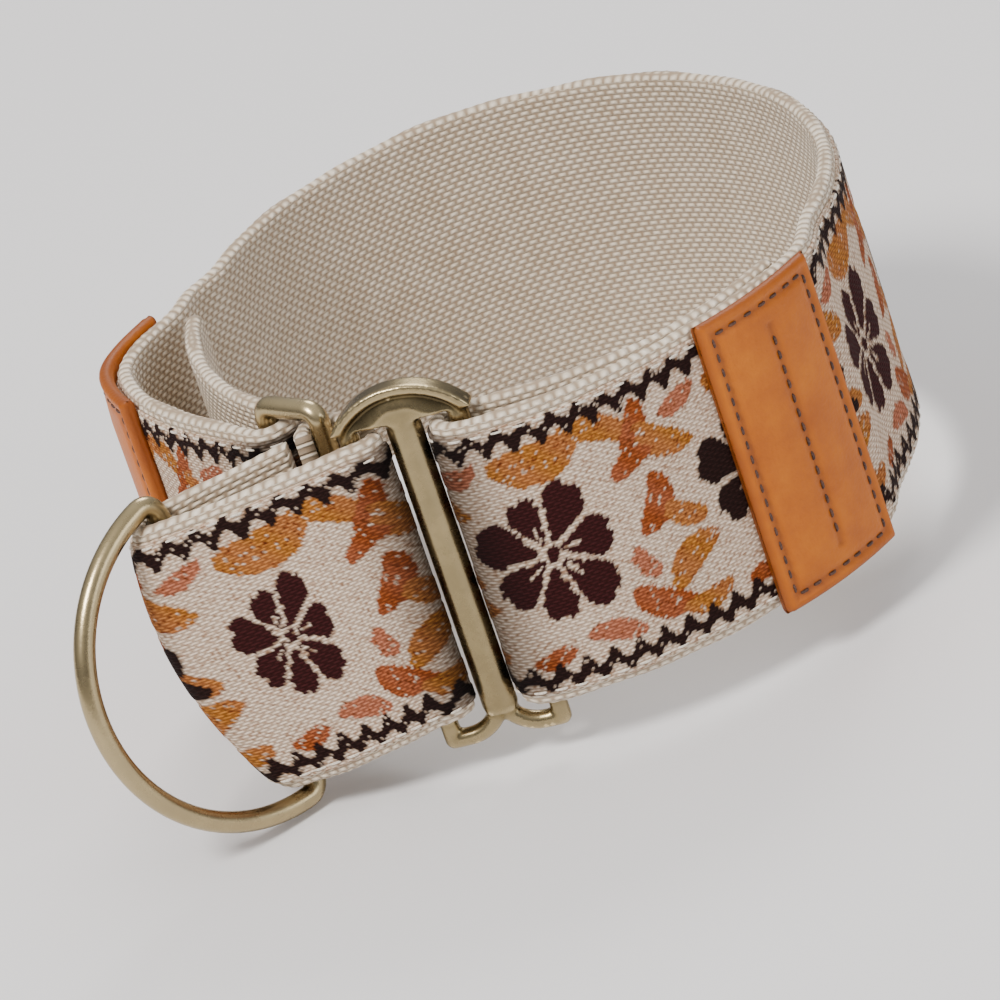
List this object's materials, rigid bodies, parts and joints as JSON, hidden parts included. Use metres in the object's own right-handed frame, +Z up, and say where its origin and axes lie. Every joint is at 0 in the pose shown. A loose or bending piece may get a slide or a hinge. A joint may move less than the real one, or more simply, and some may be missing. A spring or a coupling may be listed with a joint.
{
  "type": "martingale collar",
  "caption": "Wide webbing martingale collar with a woven ribbon face, leather labels, a cast slide, a hidden ring and a control loop with a D-ring.",
  "frame": {"origin": "centre of the neck opening, halfway up the band", "axes": "+Z up along the neck, -Y towards the front where the hardware is, +X to the side of the exposed leather label"},
  "size_m": [0.1124, 0.1009, 0.0537],
  "materials": {
    "cotton_webbing": "thick ecru cotton webbing, matt",
    "jacquard_ribbon": "woven ribbon with dark flowers and ochre leaves on ecru",
    "tan_leather": "smooth vegetable-tanned leather, satin",
    "stitching": "dark waxed thread",
    "antique_brass": "cast antique brass, brushed, worn bright on its edges"
  },
  "bodies": {
    "neck_band": {"neck_webbing_back": "cotton_webbing", "neck_webbing_right_end": "cotton_webbing", "neck_webbing_left_end": "cotton_webbing", "neck_ribbon_back": "jacquard_ribbon", "neck_ribbon_right_end": "jacquard_ribbon", "neck_ribbon_left_end": "jacquard_ribbon", "leather_label_right": "tan_leather", "label_thread_right": "stitching", "leather_label_left": "tan_leather", "label_thread_left": "stitching"},
    "connector": {"connector_slide": "antique_brass"},
    "loop_base": {"loop_turn_at_connector": "cotton_webbing", "loop_ribbon_at_connector": "jacquard_ribbon"},
    "loop_end": {"loop_outer_webbing": "cotton_webbing", "loop_outer_ribbon": "jacquard_ribbon", "loop_return_webbing": "cotton_webbing", "loop_return_ribbon": "jacquard_ribbon", "loop_fold_webbing": "cotton_webbing", "loop_fold_ribbon": "jacquard_ribbon"},
    "d_ring": {"d_ring": "antique_brass"},
    "keeper": {"keeper_ring": "antique_brass", "loop_turn_at_keeper": "cotton_webbing"}
  },
  "joints": [
    {"name": "connector_swing", "type": "hinge", "parent": "neck_band", "child": "connector", "pos_m": [-0.0128, -0.04725, 0], "axis": [0, 0, 1], "range_deg": [0, 25]},
    {"name": "loop_swing", "type": "hinge", "parent": "connector", "child": "loop_base", "pos_m": [-0.02659, -0.04383, 0], "axis": [0, 0, 1], "range_deg": [0, 40]},
    {"name": "loop_draw", "type": "slide", "parent": "loop_base", "child": "loop_end", "axis": [-0.9375, 0.2902, -0.192], "range_m": [0, 0.008]},
    {"name": "d_ring_swing", "type": "hinge", "parent": "loop_end", "child": "d_ring", "pos_m": [-0.04856, -0.03703, -0.0045], "axis": [-0.1834, 0.0568, 0.9814], "range_deg": [-70, 80]},
    {"name": "keeper_swing", "type": "hinge", "parent": "neck_band", "child": "keeper", "pos_m": [-0.03562, -0.0299, 0], "axis": [0, 0, 1], "range_deg": [0, 12]}
  ]
}
